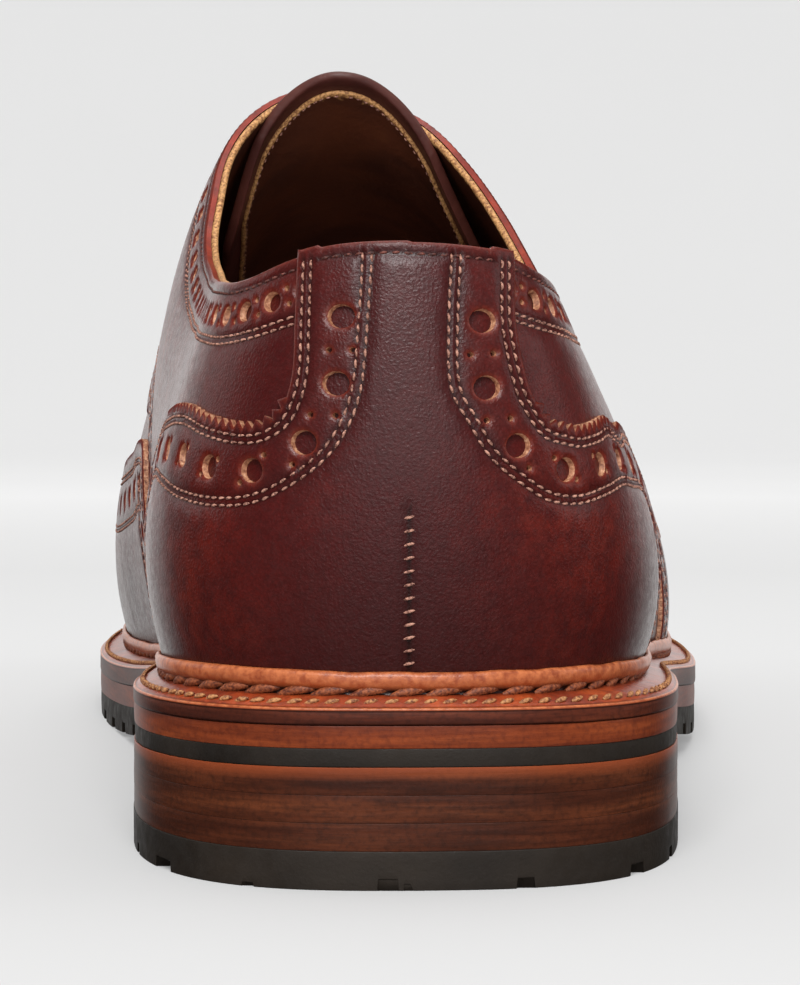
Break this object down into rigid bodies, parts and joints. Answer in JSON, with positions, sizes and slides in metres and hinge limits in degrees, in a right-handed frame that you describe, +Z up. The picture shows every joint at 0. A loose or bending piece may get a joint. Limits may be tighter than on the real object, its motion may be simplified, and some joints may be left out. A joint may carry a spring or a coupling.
{
  "type": "leather shoe",
  "caption": "Right full-brogue leather shoe, low and laced, with a storm welt, rubber sole and stacked leather heel; empty eyelets, hinged tongue.",
  "frame": {"origin": "on the ground, under the middle of the shoe's bounding box", "axes": "+X to the outer side of the foot, +Y to the toe, +Z up"},
  "size_m": [0.114, 0.3052, 0.1139],
  "materials": {
    "upper_leather": "burnished deep red-brown",
    "lining_leather": "natural tan, matt",
    "leather_board": "undyed board",
    "welt_leather": "orange-tan, waxed edge",
    "stack_leather": "layered leather, stained brown edge",
    "sole_rubber": "charcoal, matt",
    "shank_steel": "plain",
    "eyelet_brass": "antique",
    "cork": null
  },
  "bodies": {
    "shoe": {"insole": "leather_board", "insole_rib": "lining_leather", "cork_filler": "cork", "shank": "shank_steel", "welt": "welt_leather", "midsole": "stack_leather", "rubber_sole": "sole_rubber", "heel_lift_1": "stack_leather", "heel_lift_2": "stack_leather", "heel_lift_3": "stack_leather", "heel_nail_1": "shank_steel", "heel_nail_2": "shank_steel", "heel_nail_3": "shank_steel", "heel_nail_4": "shank_steel", "heel_nail_5": "shank_steel", "heel_top_lift": "sole_rubber", "sock_liner": "lining_leather", "toe_cap": "upper_leather", "vamp": "upper_leather", "heel_foxing": "upper_leather", "toe_puff": "leather_board", "heel_counter": "leather_board", "vamp_lining": "lining_leather", "heel_grip": "lining_leather", "quarter_inner": "upper_leather", "quarter_lining_inner": "lining_leather", "facing_stay_inner": "leather_board", "quarter_outer": "upper_leather", "quarter_lining_outer": "lining_leather", "facing_stay_outer": "leather_board", "eyelet_inner_1": "eyelet_brass", "eyelet_inner_2": "eyelet_brass", "eyelet_inner_3": "eyelet_brass", "eyelet_inner_4": "eyelet_brass", "eyelet_inner_5": "eyelet_brass", "eyelet_outer_1": "eyelet_brass", "eyelet_outer_2": "eyelet_brass", "eyelet_outer_3": "eyelet_brass", "eyelet_outer_4": "eyelet_brass", "eyelet_outer_5": "eyelet_brass"},
    "tongue": {"tongue": "upper_leather", "tongue_lining": "lining_leather"}
  },
  "joints": [
    {"name": "tongue_fold", "type": "hinge", "parent": "shoe", "child": "tongue", "pos_m": [-0.0074, 0.0325, 0.067], "axis": [1, 0, 0], "range_deg": [0, 18], "stiffness_Nm_per_rad": 0.3}
  ]
}
